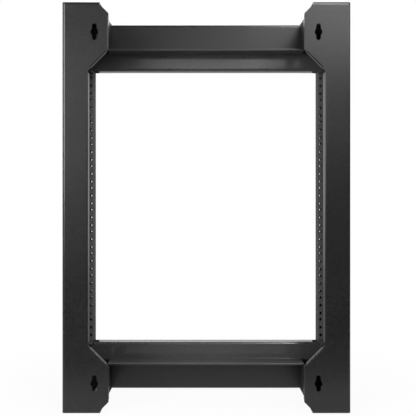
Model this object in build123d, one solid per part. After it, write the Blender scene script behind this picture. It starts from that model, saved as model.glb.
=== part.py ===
from build123d import *
import os

# Wall-hung two post rack, folded from sheet steel, in millimetres.
# While it is modelled, X runs along the wall, Y from the wall into the room,
# and Z up from the middle of the rack.  It is moved onto its base at the end.

# Overall size and sheet
WIDTH = 524.0
HEIGHT = 748.0
DEPTH = 152.4
SHEET = 2.0
BEND = 3.5
CLEARANCE = 1.0

# Rack standard: unit height, holes within one unit, hole columns
UNITS = 12
UNIT = 44.45
HOLES_IN_UNIT = (6.35, 22.225, 38.1)
COLUMN_SPAN = 465.1
HOLE_DIA = 5.5
HOLE_FLATS = 9
ROUND_HOLE_UNITS = (1, 6, 12)

# Posts: flange on the wall, its ears, and their screw keyholes
FLANGE_WIDTH = 47.0
EAR_WIDTH = 84.5
EAR_CHAMFER = 16.0
EAR_EDGE = 65.0
LIP_DEPTH = 16.0
EAR_LIP_DEPTH = 7.0
LIP_INSET = 4.0
LIP_BEND = 0.4
STUD_SPACING = 406.4
KEYHOLE_RISE = 638.0
KEYHOLE_DIA = 14.0
SLOT_WIDTH = 8.5
SLOT_LENGTH = 30.0
CORNER_RELIEF = 3.0

# Rails: channels open to the side, holes in both flanges
RAIL_DEPTH = 19.05
RAIL_BEND = 1.2
OPENING_WIDTH = 450.8

# Cross channels under and over the opening, and their tie pans
OPENING_HEIGHT = 548.0
BAND_HEIGHT = 34.8
RIB_DEPTH = 41.9
RIB_BEND = 0.4
EDGE_ROUND = 0.6
LUG_END = 256.0
SHELF_DROP = 5.5
PAN_LENGTH = 381.0
PAN_HEIGHT = 59.4
GUSSET_DROP = 14.0

# Tabs in the corners of the opening
TAB_LENGTH = 9.0
TAB_HEIGHT = 3.0

# Values worked out from those above
SIDE = WIDTH / 2
TOP = HEIGHT / 2
FLANGE_EDGE = SIDE - FLANGE_WIDTH
EAR_TIP = SIDE - EAR_WIDTH
END_FLANGE_EDGE = EAR_TIP + EAR_CHAMFER
EAR_HEAD = TOP - BEND - SHEET - EAR_CHAMFER
EAR_FOOT = EAR_HEAD - EAR_EDGE
NECK = EAR_FOOT - (FLANGE_EDGE - EAR_TIP)
RAIL_BACK = DEPTH - RAIL_DEPTH
WEB_FACE = OPENING_WIDTH / 2
LIP_FACE = OPENING_HEIGHT / 2
RIB_FACE = LIP_FACE + BAND_HEIGHT
RIB_EDGE = RAIL_BACK - RIB_DEPTH
PAN_END = PAN_LENGTH / 2
PAN_TOP = RIB_FACE + PAN_HEIGHT


def folded_section(line, plane, bends, edge=0.0):
    """Section of a sheet folded along a line of points, with the metal on the left of the line."""
    points = [Vector(*p) for p in line]
    runs = [(b - a).normalized() for a, b in zip(points, points[1:])]
    lefts = [Vector(-r.Y, r.X) for r in runs]
    far = [points[0] + lefts[0] * SHEET]
    radii = [edge]
    far_radii = [edge]
    for i, bend in enumerate(bends, start=1):
        before, after = lefts[i - 1], lefts[i]
        far.append(points[i] + (before + after) * (SHEET / (1 + before.dot(after))))
        turns_left = runs[i - 1].cross(runs[i]).Z > 0
        radii.append(bend + SHEET if turns_left else bend)
        far_radii.append(bend if turns_left else bend + SHEET)
    far.append(points[-1] + lefts[-1] * SHEET)
    outline = FilletPolyline(
        *points,
        *reversed(far),
        radius=radii + [edge, edge] + far_radii[::-1],
        close=True,
    )
    return plane * make_face(outline)


def across(section, start, end):
    """A section drawn in Y and Z, run along X from start to end."""
    return Pos(start, 0, 0) * extrude(section, amount=end - start)


def flipped(shape):
    """The same piece on the other side of the rack's middle height."""
    return mirror(shape, about=Plane.XY)


def handed(shape):
    """The same piece on the other side of the rack's middle plane."""
    return mirror(shape, about=Plane.YZ)


def wall_plate_cutter():
    """Everything inboard of the right wall flange and its ears, as one block through the sheet."""
    half = [
        (FLANGE_EDGE, NECK),
        (EAR_TIP, EAR_FOOT),
        (EAR_TIP, EAR_HEAD),
        (END_FLANGE_EDGE, EAR_HEAD + EAR_CHAMFER),
        (END_FLANGE_EDGE, TOP + CLEARANCE),
        (0, TOP + CLEARANCE),
    ]
    outline = half + [(x, -z) for x, z in reversed(half)]
    face = Plane.XZ * make_face(Polyline(*outline, close=True))
    return extrude(face, amount=-(BEND + SHEET), both=True)


def keyhole_cutter():
    """Double ended keyhole: a round middle for the screw head and a slot up and down from it."""
    slot = SlotOverall(SLOT_LENGTH, SLOT_WIDTH, rotation=90)
    profile = slot + Circle(KEYHOLE_DIA / 2)
    return extrude(Plane.XZ * profile, amount=2 * SHEET, both=True)


def with_lip(post, start, end, depth):
    """The post with a lip folded into the room along its wall flange's edge, which runs upwards."""
    run = Vector(end[0] - start[0], 0, end[1] - start[1])
    into_flange = Vector(0, 1, 0).cross(run)
    edge = Plane(origin=(start[0], 0, start[1]), x_dir=into_flange, z_dir=run)
    root = 3 * SHEET
    strip = edge * Rectangle(root, 4 * SHEET, align=(Align.MIN, Align.CENTER))
    lip = folded_section([(root, SHEET), (SHEET, SHEET), (SHEET, depth)], edge, [LIP_BEND])
    return post - extrude(strip, amount=run.length) + extrude(lip, amount=run.length)


def right_post():
    """Side wall, wall flange with ears and lips, and end flanges, folded from one sheet."""
    blank = Pos((SIDE + EAR_TIP) / 2, DEPTH / 2, 0) * Box(EAR_WIDTH, DEPTH, HEIGHT)
    wall_edges = blank.faces().sort_by(Axis.Y)[0].edges()
    blank = fillet(wall_edges.sort_by(Axis.X)[1:], BEND + SHEET)
    open_faces = [blank.faces().sort_by(Axis.X)[0], blank.faces().sort_by(Axis.Y)[-1]]
    post = offset(blank, amount=-SHEET, openings=open_faces)

    trim = Box(EAR_CHAMFER, DEPTH, HEIGHT, align=(Align.MAX, Align.MIN, Align.CENTER))
    post -= Pos(END_FLANGE_EDGE, SHEET, 0) * trim
    post -= wall_plate_cutter()
    post -= [
        Pos(STUD_SPACING / 2, 0, z) * keyhole_cutter()
        for z in (-KEYHOLE_RISE / 2, KEYHOLE_RISE / 2)
    ]
    relief = extrude(Plane.XZ * Circle(CORNER_RELIEF), amount=BEND + SHEET, both=True)
    post -= [Pos(SIDE, 0, z) * relief for z in (-TOP, TOP)]

    half_run = NECK - LIP_INSET
    post = with_lip(post, (FLANGE_EDGE, -half_run), (FLANGE_EDGE, half_run), LIP_DEPTH)
    diagonal = [(FLANGE_EDGE - LIP_INSET, NECK + LIP_INSET), (EAR_TIP + LIP_INSET, EAR_FOOT - LIP_INSET)]
    upright = [(EAR_TIP, EAR_FOOT + LIP_INSET), (EAR_TIP, EAR_HEAD - LIP_INSET)]
    for start, end in (diagonal, upright):
        post = with_lip(post, start, end, EAR_LIP_DEPTH)
        post = with_lip(post, (end[0], -end[1]), (start[0], -start[1]), EAR_LIP_DEPTH)
    return post


def drill(outline):
    """Cutter of this outline through both flanges of a rail."""
    return extrude(Plane.XZ.offset(CLEARANCE - RAIL_BACK) * outline, amount=-(RAIL_DEPTH + 2 * CLEARANCE))


def rail_holes():
    """One column of hole cutters: round for a panel's screws in some units, with flats elsewhere."""
    round_hole = drill(Circle(HOLE_DIA / 2))
    flat_hole = drill(RegularPolygon(HOLE_DIA / 2, HOLE_FLATS))
    cutters = []
    for unit in range(1, UNITS + 1):
        for step in HOLES_IN_UNIT:
            for_panel = unit in ROUND_HOLE_UNITS and step != HOLES_IN_UNIT[1]
            height = (unit - 1 - UNITS / 2) * UNIT + step
            cutters.append(Pos(COLUMN_SPAN / 2, 0, height) * (round_hole if for_panel else flat_hole))
    return cutters


def right_rail():
    """Channel that carries the equipment, between the end flanges of its post."""
    reach = SIDE - SHEET
    line = [(reach, DEPTH), (WEB_FACE, DEPTH), (WEB_FACE, RAIL_BACK), (reach, RAIL_BACK)]
    half = TOP - SHEET
    section = folded_section(line, Plane.XY.offset(-half), [RAIL_BEND, RAIL_BEND])
    return extrude(section, amount=2 * half) - rail_holes()


def top_channel():
    """Cross channel over the opening: rib to the wall, band, lip to the room, and a shelf at each end."""
    lip = [(DEPTH, LIP_FACE + SHEET), (RAIL_BACK, LIP_FACE + SHEET)]
    band_top = (RAIL_BACK, RIB_FACE)
    shelf = [(RIB_EDGE, LIP_FACE - SHELF_DROP), (RAIL_BACK, LIP_FACE - SHELF_DROP)]
    rib = (RIB_EDGE, RIB_FACE)
    ribbed = folded_section([*lip, band_top, rib], Plane.YZ, [BEND, RIB_BEND], edge=EDGE_ROUND)
    plain = folded_section([*lip, band_top], Plane.YZ, [BEND])
    shelved = folded_section([*shelf, band_top], Plane.YZ, [BEND])
    rib_end = PAN_END + SHEET
    end = across(plain, rib_end, WEB_FACE) + across(shelved, WEB_FACE, LUG_END)
    return across(ribbed, -rib_end, rib_end) + end + handed(end)


def top_pan():
    """Tie pan above the channel: rib to the wall, tall web with end lugs, and a flange to the room."""
    line = [
        (RIB_EDGE, RIB_FACE),
        (RAIL_BACK, RIB_FACE),
        (RAIL_BACK, PAN_TOP - SHEET),
        (DEPTH, PAN_TOP - SHEET),
    ]
    section = folded_section(line, Plane.YZ, [RIB_BEND, BEND], edge=EDGE_ROUND)
    pan = across(section, -PAN_END, PAN_END)
    size = (LUG_END - PAN_END, SHEET, PAN_HEIGHT)
    lug = Pos(PAN_END, RAIL_BACK, RIB_FACE) * Box(*size, align=(Align.MIN, Align.MAX, Align.MIN))
    return pan + lug + handed(lug)


def top_right_gusset():
    """Plate that ties the end of the pan to the ear on the wall, lower at the ear."""
    web = RAIL_BACK - SHEET
    outline = [(SHEET, RIB_FACE), (web, RIB_FACE), (web, PAN_TOP), (SHEET, PAN_TOP - GUSSET_DROP)]
    return across(Plane.YZ * make_face(Polyline(*outline, close=True)), PAN_END, PAN_END + SHEET)


def top_right_tab():
    """Small upright plate in the corner of the opening, on the channel's lip and against the rail."""
    tab = Box(TAB_LENGTH, SHEET, TAB_HEIGHT, align=(Align.MAX, Align.MIN, Align.MAX))
    return Pos(WEB_FACE, RAIL_BACK + BEND, LIP_FACE) * tab


def rack():
    """All pieces by name."""
    post = right_post()
    rail = right_rail()
    channel = top_channel()
    pan = top_pan()
    pieces = {
        "left_post": handed(post),
        "right_post": post,
        "left_rail": handed(rail),
        "right_rail": rail,
        "top_channel": channel,
        "bottom_channel": flipped(channel),
        "top_pan": pan,
        "bottom_pan": flipped(pan),
    }
    for name, corner in (("gusset", top_right_gusset()), ("tab", top_right_tab())):
        pieces[f"top_right_{name}"] = corner
        pieces[f"top_left_{name}"] = handed(corner)
        pieces[f"bottom_right_{name}"] = flipped(corner)
        pieces[f"bottom_left_{name}"] = handed(flipped(corner))
    return pieces


os.makedirs("parts", exist_ok=True)
onto_base = Pos(0, -DEPTH / 2, TOP)
for name, shape in rack().items():
    export_step(onto_base * shape, f"parts/{name}.step")
    print(name, "written")
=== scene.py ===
# %% [markdown]
# # A wall rack in black powder coat
# The object is an open frame of folded sheet steel that hangs on a wall and
# carries equipment between two rails of holes.  Its pieces come from the solid
# model as they are, so this lesson is about the finish, the thread in the holes,
# which the solid model leaves out, the light and the camera.

# %% Load the solid model as a fixed frame
import math

import bmesh
import bpy
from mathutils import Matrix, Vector


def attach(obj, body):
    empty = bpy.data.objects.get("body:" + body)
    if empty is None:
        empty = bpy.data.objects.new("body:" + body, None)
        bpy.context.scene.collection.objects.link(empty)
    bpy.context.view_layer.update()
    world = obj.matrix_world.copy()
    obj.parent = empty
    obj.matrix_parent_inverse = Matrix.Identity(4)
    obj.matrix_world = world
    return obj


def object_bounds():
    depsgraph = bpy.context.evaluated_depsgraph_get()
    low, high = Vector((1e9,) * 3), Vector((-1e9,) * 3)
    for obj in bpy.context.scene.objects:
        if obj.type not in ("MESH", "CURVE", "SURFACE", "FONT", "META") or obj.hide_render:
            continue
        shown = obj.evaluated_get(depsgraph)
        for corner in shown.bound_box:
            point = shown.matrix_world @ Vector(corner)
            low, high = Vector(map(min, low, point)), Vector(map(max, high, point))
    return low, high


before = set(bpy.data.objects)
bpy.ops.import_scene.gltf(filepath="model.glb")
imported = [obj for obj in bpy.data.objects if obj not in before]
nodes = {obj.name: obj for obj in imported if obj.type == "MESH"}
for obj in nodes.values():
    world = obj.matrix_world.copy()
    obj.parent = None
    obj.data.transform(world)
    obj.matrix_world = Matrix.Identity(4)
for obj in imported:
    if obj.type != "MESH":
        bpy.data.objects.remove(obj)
solid_low, solid_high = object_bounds()
print(len(nodes), "pieces, size", [round(v, 4) for v in Vector(solid_high) - Vector(solid_low)])

# %% [markdown]
# ## Shader maths in plain Python
# A finish is a small network of nodes.  Wiring each Math node by hand hides the
# idea behind it, so a socket is wrapped in a class that knows plus, minus and
# times.  The reflected forms make `1 - mask` work as well as `mask - 1`.

# %% A socket that can be calculated with
class Value:
    """One output of a node, ready for sums."""

    def __init__(self, finish, socket):
        self.finish = finish
        self.socket = socket

    def math(self, operation, first, second):
        settings = {"operation": operation}
        return self.finish.add("ShaderNodeMath", settings, {0: first, 1: second})

    def __add__(self, other):
        return self.math("ADD", self, other)

    def __sub__(self, other):
        return self.math("SUBTRACT", self, other)

    def __rsub__(self, other):
        return self.math("SUBTRACT", other, self)

    def __mul__(self, other):
        return self.math("MULTIPLY", self, other)

    __radd__ = __add__
    __rmul__ = __mul__


print("sums are ready:", Value.__doc__)

# %% [markdown]
# ## Every other node
# All other nodes come from one method, `add`, which sets the node's own settings
# first and then its sockets, because a setting can change which sockets there
# are.  Two colours are mixed by a Mix node, since a Math node would turn them grey.

# %% A node tree under construction
BLACK = (0, 0, 0, 1)
WHITE = (1, 1, 1, 1)
MIX_SHARE, MIX_FIRST, MIX_SECOND = 0, 6, 7
MIX_COLOUR = 2


class Finish:
    """The nodes of a material or of the world."""

    def __init__(self, tree):
        self.tree = tree
        self.tree.nodes.clear()

    def add(self, kind, settings, sockets, output=0):
        """Adds a node, sets its settings and then its sockets, and returns one output."""
        node = self.tree.nodes.new(kind)
        for name, setting in settings.items():
            setattr(node, name, setting)
        for name, value in sockets.items():
            if isinstance(value, Value):
                self.tree.links.new(value.socket, node.inputs[name])
            else:
                node.inputs[name].default_value = value
        return Value(self, node.outputs[output])

    def blend(self, share, first, second):
        """The colour that lies this share of the way from the first to the second."""
        sockets = {MIX_SHARE: share, MIX_FIRST: first, MIX_SECOND: second}
        return self.add("ShaderNodeMix", {"data_type": "RGBA"}, sockets, MIX_COLOUR)

    def end(self, kind, surface):
        """Adds the output node that shows a surface shader."""
        node = self.tree.nodes.new(kind)
        self.tree.links.new(surface.socket, node.inputs["Surface"])


def new_finish(name):
    """An empty material and its finish."""
    material = bpy.data.materials.new(name)
    material.use_nodes = True
    return material, Finish(material.node_tree)


print("nodes are ready:", Finish.__doc__)

# %% [markdown]
# ## The powder coat
# Powder coat is a plastic skin baked onto the steel: black pigment in a clear
# resin.  Close up it has a fine grain, a little under a millimetre across, and a
# slower waviness where the powder lay thicker.  Both could be modelled, but they
# are far too fine for a mesh, so they go into a bump.  The same noises shift the
# roughness and the colour slightly, because a flat black looks like a hole in the
# picture.  The shader's own coat layer stands for clear resin at the surface, and
# gives lips and ribs their bright streaks where they are seen at a low angle.

# %% Black powder coat
GRAIN_SIZE = 0.0009
WAVE_SIZE = 0.005
CLOUD_SIZE = 0.12
GRAIN_SHADE = 0.25
WAVE_SHADE = 0.5
CLOUD_SHADE = 0.25
GRAIN_RELIEF = 0.7
WAVE_RELIEF = 2
RELIEF_HEIGHT = 0.00006
RELIEF_STRENGTH = 0.2
ROUGHNESS_RANGE = 0.07
RESIN_ROUGHNESS = 0.14
BLUE_TINT = 1.02


def noise_of_size(finish, place, size, detail):
    """Noise whose lumps are about this many metres across."""
    sockets = {"Vector": place, "Scale": 1 / size, "Detail": detail}
    return finish.add("ShaderNodeTexNoise", {}, sockets)


def grey(level):
    """A grey that is a trace colder than neutral."""
    return (level, level, level * BLUE_TINT, 1.0)


def powder_coat(name, dark, light, roughness, gloss, resin):
    """Black powder coat that wanders between two greys, under so much clear resin."""
    material, finish = new_finish(name)
    place = finish.add("ShaderNodeTexCoord", {}, {}, "Object")
    grain = noise_of_size(finish, place, GRAIN_SIZE, detail=2)
    wave = noise_of_size(finish, place, WAVE_SIZE, detail=1)
    cloud = noise_of_size(finish, place, CLOUD_SIZE, detail=3)
    shade = grain * GRAIN_SHADE + wave * WAVE_SHADE + cloud * CLOUD_SHADE
    relief = {
        "Strength": RELIEF_STRENGTH,
        "Distance": RELIEF_HEIGHT,
        "Height": grain * GRAIN_RELIEF + wave * WAVE_RELIEF,
    }
    skin = {
        "Base Color": finish.blend(shade, grey(dark), grey(light)),
        "Roughness": (cloud + wave - 1) * ROUGHNESS_RANGE + roughness,
        "Specular IOR Level": gloss,
        "Coat Weight": resin,
        "Coat Roughness": RESIN_ROUGHNESS,
        "Normal": finish.add("ShaderNodeBump", {}, relief),
    }
    surface = finish.add("ShaderNodeBsdfPrincipled", {}, skin)
    finish.end("ShaderNodeOutputMaterial", surface)
    print(name, "has", len(finish.tree.nodes), "nodes")
    return material


# %% [markdown]
# ## Shades of one black
# In the photograph the rails are lighter and duller than the posts beside them, at
# every height, and the cross channels lie between the two.  The gussets are dark
# and matt: they show no streak where they are seen at a low angle.  So each group
# has its own shade of the same coat.  Part of the lightness of the rails and
# channels is painted light: it stands in for light that the lamps don't bring into
# these recessed parts.  One coat for all would be simpler, but then the rails
# vanish into the posts.

# %% Shades on the pieces
COATS_AND_PAINTED_LIGHT = {
    # The rail and channel greys are lighter partly as painted light, standing in for light that the
    # lamps don't bring into these recesses.
    "rail": {"dark": 0.065, "light": 0.125, "roughness": 0.8, "gloss": 0.05, "resin": 0.0},
    "channel": {"dark": 0.03, "light": 0.075, "roughness": 0.4, "gloss": 0.2, "resin": 0.9},
    "gusset": {"dark": 0.008, "light": 0.02, "roughness": 0.75, "gloss": 0.2, "resin": 0.0},
    "": {"dark": 0.003, "light": 0.023, "roughness": 0.32, "gloss": 0.5, "resin": 0.1},
}


def group_of(name):
    """The first word of the coats that is in a piece's name; the empty one is in any."""
    return next(word for word in COATS_AND_PAINTED_LIGHT if word in name)


coats = {word: powder_coat(f"black_coat_{word or 'frame'}", **look) for word, look in COATS_AND_PAINTED_LIGHT.items()}
for name, piece in nodes.items():
    piece.data.materials.clear()
    piece.data.materials.append(coats[group_of(name)])
    print(name, "has", piece.data.materials[0].name)

# %% [markdown]
# ## A turn of thread
# The rails carry screws in tapped holes, and the solid model leaves the thread
# out.  A sheet this thin holds less than two turns, so one is shown.  A thread
# could be cut with a boolean, but a ridge laid inside the hole looks the same and
# costs far less: a triangle is spun once round while it climbs by one pitch.  The
# spin keeps a triangle at each end, so the ridge is closed.

# %% One turn of thread
HOLE_RADIUS = 0.00275
CREST_RADIUS = 0.00228
PITCH = 0.001058
RIDGE_WIDTH = 0.0009
TURN_STEPS = 16


def thread_turn():
    """One turn of thread round the Y axis, with its middle at the origin."""
    turn = bmesh.new()
    outline = ((HOLE_RADIUS, -RIDGE_WIDTH), (CREST_RADIUS, 0), (HOLE_RADIUS, RIDGE_WIDTH))
    points = [turn.verts.new((x, (y - PITCH) / 2, 0)) for x, y in outline]
    start = turn.faces.new(points)
    bmesh.ops.spin(
        turn, geom=[*points, *start.edges, start], cent=(0, 0, 0), axis=(0, 1, 0),
        dvec=(0, PITCH / TURN_STEPS, 0), angle=math.tau, steps=TURN_STEPS,
    )
    bmesh.ops.recalc_face_normals(turn, faces=turn.faces)
    mesh = bpy.data.meshes.new("thread_turn")
    turn.to_mesh(mesh)
    turn.free()
    return mesh


turn_mesh = thread_turn()
print("a turn of thread has", len(turn_mesh.polygons), "faces")

# %% [markdown]
# ## Thread in every hole
# Each rail has two flanges, and each flange three holes in every rack unit.  The
# turn is copied into all of them by a loop over the standard's own spacings, and
# the copies of one rail are one piece.  Objects that share a mesh would be lighter
# still, but then each hole would be a piece of its own.  Little coat reaches the
# thread and no gloss shows there, so it has the dark matt shade of the gussets.

# %% Copies in every hole of both rails
UNIT = 0.04445
UNITS = 12
HOLES_IN_UNIT = (0.00635, 0.022225, 0.0381)
COLUMNS_APART = 0.4651
RAIL_SETBACK = 0.13335
SHEET = 0.002


def copies(name, mesh, places, material):
    """A new piece made of copies of a mesh at these places."""
    many = bmesh.new()
    for place in places:
        many.from_mesh(mesh)
        many.verts.ensure_lookup_table()
        latest = many.verts[-len(mesh.vertices):]
        bmesh.ops.translate(many, verts=latest, vec=place)
    whole = bpy.data.meshes.new(name)
    many.to_mesh(whole)
    many.free()
    whole.materials.append(material)
    piece = bpy.data.objects.new(name, whole)
    bpy.context.scene.collection.objects.link(piece)
    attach(piece, "root")
    print(name, len(places), "copies,", len(whole.polygons), "faces")


middle_height = (solid_low[2] + solid_high[2]) / 2
heights = [
    middle_height + (unit - UNITS / 2) * UNIT + step
    for unit in range(UNITS)
    for step in HOLES_IN_UNIT
]
flange_middles = (solid_low[1] + RAIL_SETBACK + SHEET / 2, solid_high[1] - SHEET / 2)
for side, column in (("left", -COLUMNS_APART / 2), ("right", COLUMNS_APART / 2)):
    holes = [(column, y, z) for z in heights for y in flange_middles]
    copies(f"{side}_rail_threads", turn_mesh, holes, coats["gusset"])

# %% [markdown]
# ## A white studio
# The rack stands on white paper that sweeps up behind it.  The white shows only
# as a background: a ray from the camera sees it in full and one mirrored by the
# coat sees most of it, while hardly any of it falls on the steel as light.  The
# Light Path node tells the kinds of ray apart.  The paper ends a little in front
# of the rack, and the room behind the camera is dark.  That is why the flat faces
# stay black, and only the bends, lips and lower ends, which mirror the paper, are
# bright.  A strong world light would whiten the background too, but it would
# flatten every shade on the rack.

# %% World
SWEEP_RISE = (0.2, 0.8)
SWEEP_WHITE = 0.8
AMBIENT = 0.02


def ray(finish, kind):
    """One for this kind of ray and zero for any other."""
    return finish.add("ShaderNodeLightPath", {}, {}, f"Is {kind} Ray")


def smooth(finish, value, start, full):
    """Zero at the start, one at the full value, and a smooth rise between them."""
    limits = {"Value": value, "From Min": start, "From Max": full}
    return finish.add("ShaderNodeMapRange", {"interpolation_type": "SMOOTHSTEP"}, limits)


def white_world():
    """Paper that is white to the camera and, behind the rack, to mirrored rays."""
    world = bpy.data.worlds.new("white_studio")
    bpy.context.scene.world = world
    world.use_nodes = True
    sky = Finish(world.node_tree)
    direction = sky.add("ShaderNodeTexCoord", {}, {}, "Generated")
    depth = sky.add("ShaderNodeSeparateXYZ", {}, {"Vector": direction}, "Y")
    paper = smooth(sky, depth, *SWEEP_RISE) * SWEEP_WHITE
    mirrored = (ray(sky, "Glossy") + ray(sky, "Transmission")) * paper
    white = (ray(sky, "Camera") + mirrored) * (1 - AMBIENT) + AMBIENT
    sweep = sky.add("ShaderNodeBackground", {}, {"Color": sky.blend(white, BLACK, WHITE)})
    sky.end("ShaderNodeOutputWorld", sweep)


white_world()
print("mirrored sweep", SWEEP_WHITE, "white, light from all sides", AMBIENT)

# %% [markdown]
# ## The floor and its shadow
# The floor is matt paint with a glow laid over it.  Near the rack a share of the
# paint shows through, which keeps the shadow at the foot; farther off the glow
# covers it, so that the floor meets the white background without a line.  A
# mirrored ray sees the floor only as far as the paper reaches.  It sees it less
# white than the sweep, because paper that lies flat gets less of the light, and
# duller still behind the rack, where a painted shadow stands for the rack's own shade.

# %% Floor
FLOOR_SIZE = 40.0
FLOOR_PAINT = (0.8, 0.8, 0.8, 1)
SHADOW_SHARE = 0.06
SHADOW_FADE = (0.25, 0.7)
PAPER_FRONT = 0.1
PAPER_FADE = 0.25
PAPER_WHITE = 0.65
SHADE_SHARE = 0.35
SHADE_START = (0.1, 0.6)
SHADE_END = (1.4, 3.2)


def floor_paint(paper_edge):
    """Matt paint under a glow, with mirrored paper that ends at this depth."""
    material, finish = new_finish("white_floor_paint")
    place = finish.add("ShaderNodeTexCoord", {}, {}, "Object")
    away = finish.add("ShaderNodeVectorMath", {"operation": "LENGTH"}, {0: place}, "Value")
    depth = finish.add("ShaderNodeSeparateXYZ", {}, {"Vector": place}, "Y")
    # Painted shadow: behind the rack the mirrored paper is made duller, standing for the rack's own
    # shade.
    shade = smooth(finish, depth, *SHADE_START) * (1 - smooth(finish, depth, *SHADE_END))
    laid = smooth(finish, depth, paper_edge - PAPER_FADE, paper_edge)
    paper = laid * (PAPER_WHITE - shade * SHADE_SHARE)
    shadow = (1 - smooth(finish, away, *SHADOW_FADE)) * SHADOW_SHARE
    seen = ray(finish, "Camera")
    mirrored = ray(finish, "Glossy") + ray(finish, "Transmission")
    white = finish.blend(seen + mirrored * paper, BLACK, WHITE)
    paint = finish.add("ShaderNodeBsdfDiffuse", {}, {"Color": FLOOR_PAINT})
    glow = finish.add("ShaderNodeEmission", {}, {"Color": white})
    share = seen * (1 - shadow) + mirrored
    both = finish.add("ShaderNodeMixShader", {}, {0: share, 1: paint, 2: glow})
    finish.end("ShaderNodeOutputMaterial", both)
    return material


def white_floor(level, paint):
    """A square floor at this level."""
    sheet = bmesh.new()
    bmesh.ops.create_grid(sheet, x_segments=1, y_segments=1, size=FLOOR_SIZE / 2)
    bmesh.ops.translate(sheet, verts=sheet.verts, vec=(0, 0, level))
    mesh = bpy.data.meshes.new("studio_floor")
    sheet.to_mesh(mesh)
    sheet.free()
    mesh.materials.append(paint)
    floor = bpy.data.objects.new("studio_floor", mesh)
    bpy.context.scene.collection.objects.link(floor)


paper_edge = solid_low[1] - PAPER_FRONT
white_floor(solid_low[2], floor_paint(paper_edge))
print("floor at", round(solid_low[2], 4), "paper ends at", round(paper_edge, 4))

# %% [markdown]
# ## Soft boxes
# The upper right of the rack is the brightest and the lower right the darkest.  Weak
# lamps in front, up to the right and to the left stand where the flat faces mirror
# them dimly, so they draw the slow falls of light.  The stronger lamps stand where
# no flat face mirrors them: high above, and far out to each side, where they draw
# the lines on the outer bends and reach through the opening to the rails.  The
# upper one is narrow, so that its line on the top bends shows on the right ear
# alone.  One behind the rack lights the side that faces the room.  Boxes are used
# in place of point lamps, because a gloss coat would show those as sharp dots.

# %% Lamps
MIDDLE = Vector((0, 0, middle_height))
LAMP_DISTANCE = 1.9


def soft_box(name, bearing, lift, size, power):
    """A lamp that faces the rack, at these degrees to the right and up from straight in front."""
    lamp = bpy.data.lights.new(name, "AREA")
    lamp.shape = "RECTANGLE"
    lamp.size, lamp.size_y = size
    lamp.energy = power
    box = bpy.data.objects.new(name, lamp)
    turn = math.radians(bearing)
    rise = math.radians(lift)
    out = Vector((math.sin(turn) * math.cos(rise), -math.cos(turn) * math.cos(rise), math.sin(rise)))
    box.location = MIDDLE + out * LAMP_DISTANCE
    box.rotation_euler = (-out).to_track_quat("-Z", "Y").to_euler()
    box.visible_camera = False
    bpy.context.scene.collection.objects.link(box)
    print(name, power, "W")


soft_box("front_box", bearing=0, lift=15, size=(0.6, 0.6), power=1.9)
soft_box("key_box", bearing=15, lift=28, size=(0.5, 0.5), power=1.8)
soft_box("high_key_box", bearing=25, lift=25, size=(0.5, 0.5), power=1.6)
soft_box("low_left_box", bearing=-25, lift=10, size=(0.6, 0.6), power=1.1)
soft_box("left_box", bearing=-49, lift=15, size=(1.0, 1.0), power=28)
soft_box("right_box", bearing=58, lift=30, size=(0.7, 0.7), power=12)
soft_box("upper_box", bearing=24, lift=48, size=(0.25, 0.9), power=16)
soft_box("back_box", bearing=180, lift=40, size=(1.0, 1.0), power=14)

# %% [markdown]
# ## The camera
# The photograph looks square onto the wall side.  Its sides are parallel, so the
# lens is shifted instead of turned: the camera looks straight along Y, from a
# point a little above and left of the middle, and the shift moves the picture
# back over the rack.

# %% Camera
FRAME_PIXELS = 416
AXIS_PIXEL = (200.45, 197.1)
FOCAL_PIXELS = 623.5
SENSOR = 36.0
CAMERA_DISTANCE = 1.13
CAMERA_LEFT = 0.0108
CAMERA_ABOVE = 0.0192

lens = bpy.data.cameras.new("main_camera")
lens.sensor_width = SENSOR
lens.lens = SENSOR * FOCAL_PIXELS / FRAME_PIXELS
lens.shift_x = (FRAME_PIXELS / 2 - AXIS_PIXEL[0]) / FRAME_PIXELS
lens.shift_y = (AXIS_PIXEL[1] - FRAME_PIXELS / 2) / FRAME_PIXELS
camera = bpy.data.objects.new("main_camera", lens)
camera.location = (-CAMERA_LEFT, solid_low[1] - CAMERA_DISTANCE, middle_height + CAMERA_ABOVE)
camera.rotation_euler = (math.radians(90), 0, 0)
bpy.context.scene.collection.objects.link(camera)
bpy.context.scene.camera = camera
bpy.context.scene.view_settings.view_transform = "Standard"
print("lens", round(lens.lens, 1), "mm, shift", round(lens.shift_x, 4), round(lens.shift_y, 4))

# %% [markdown]
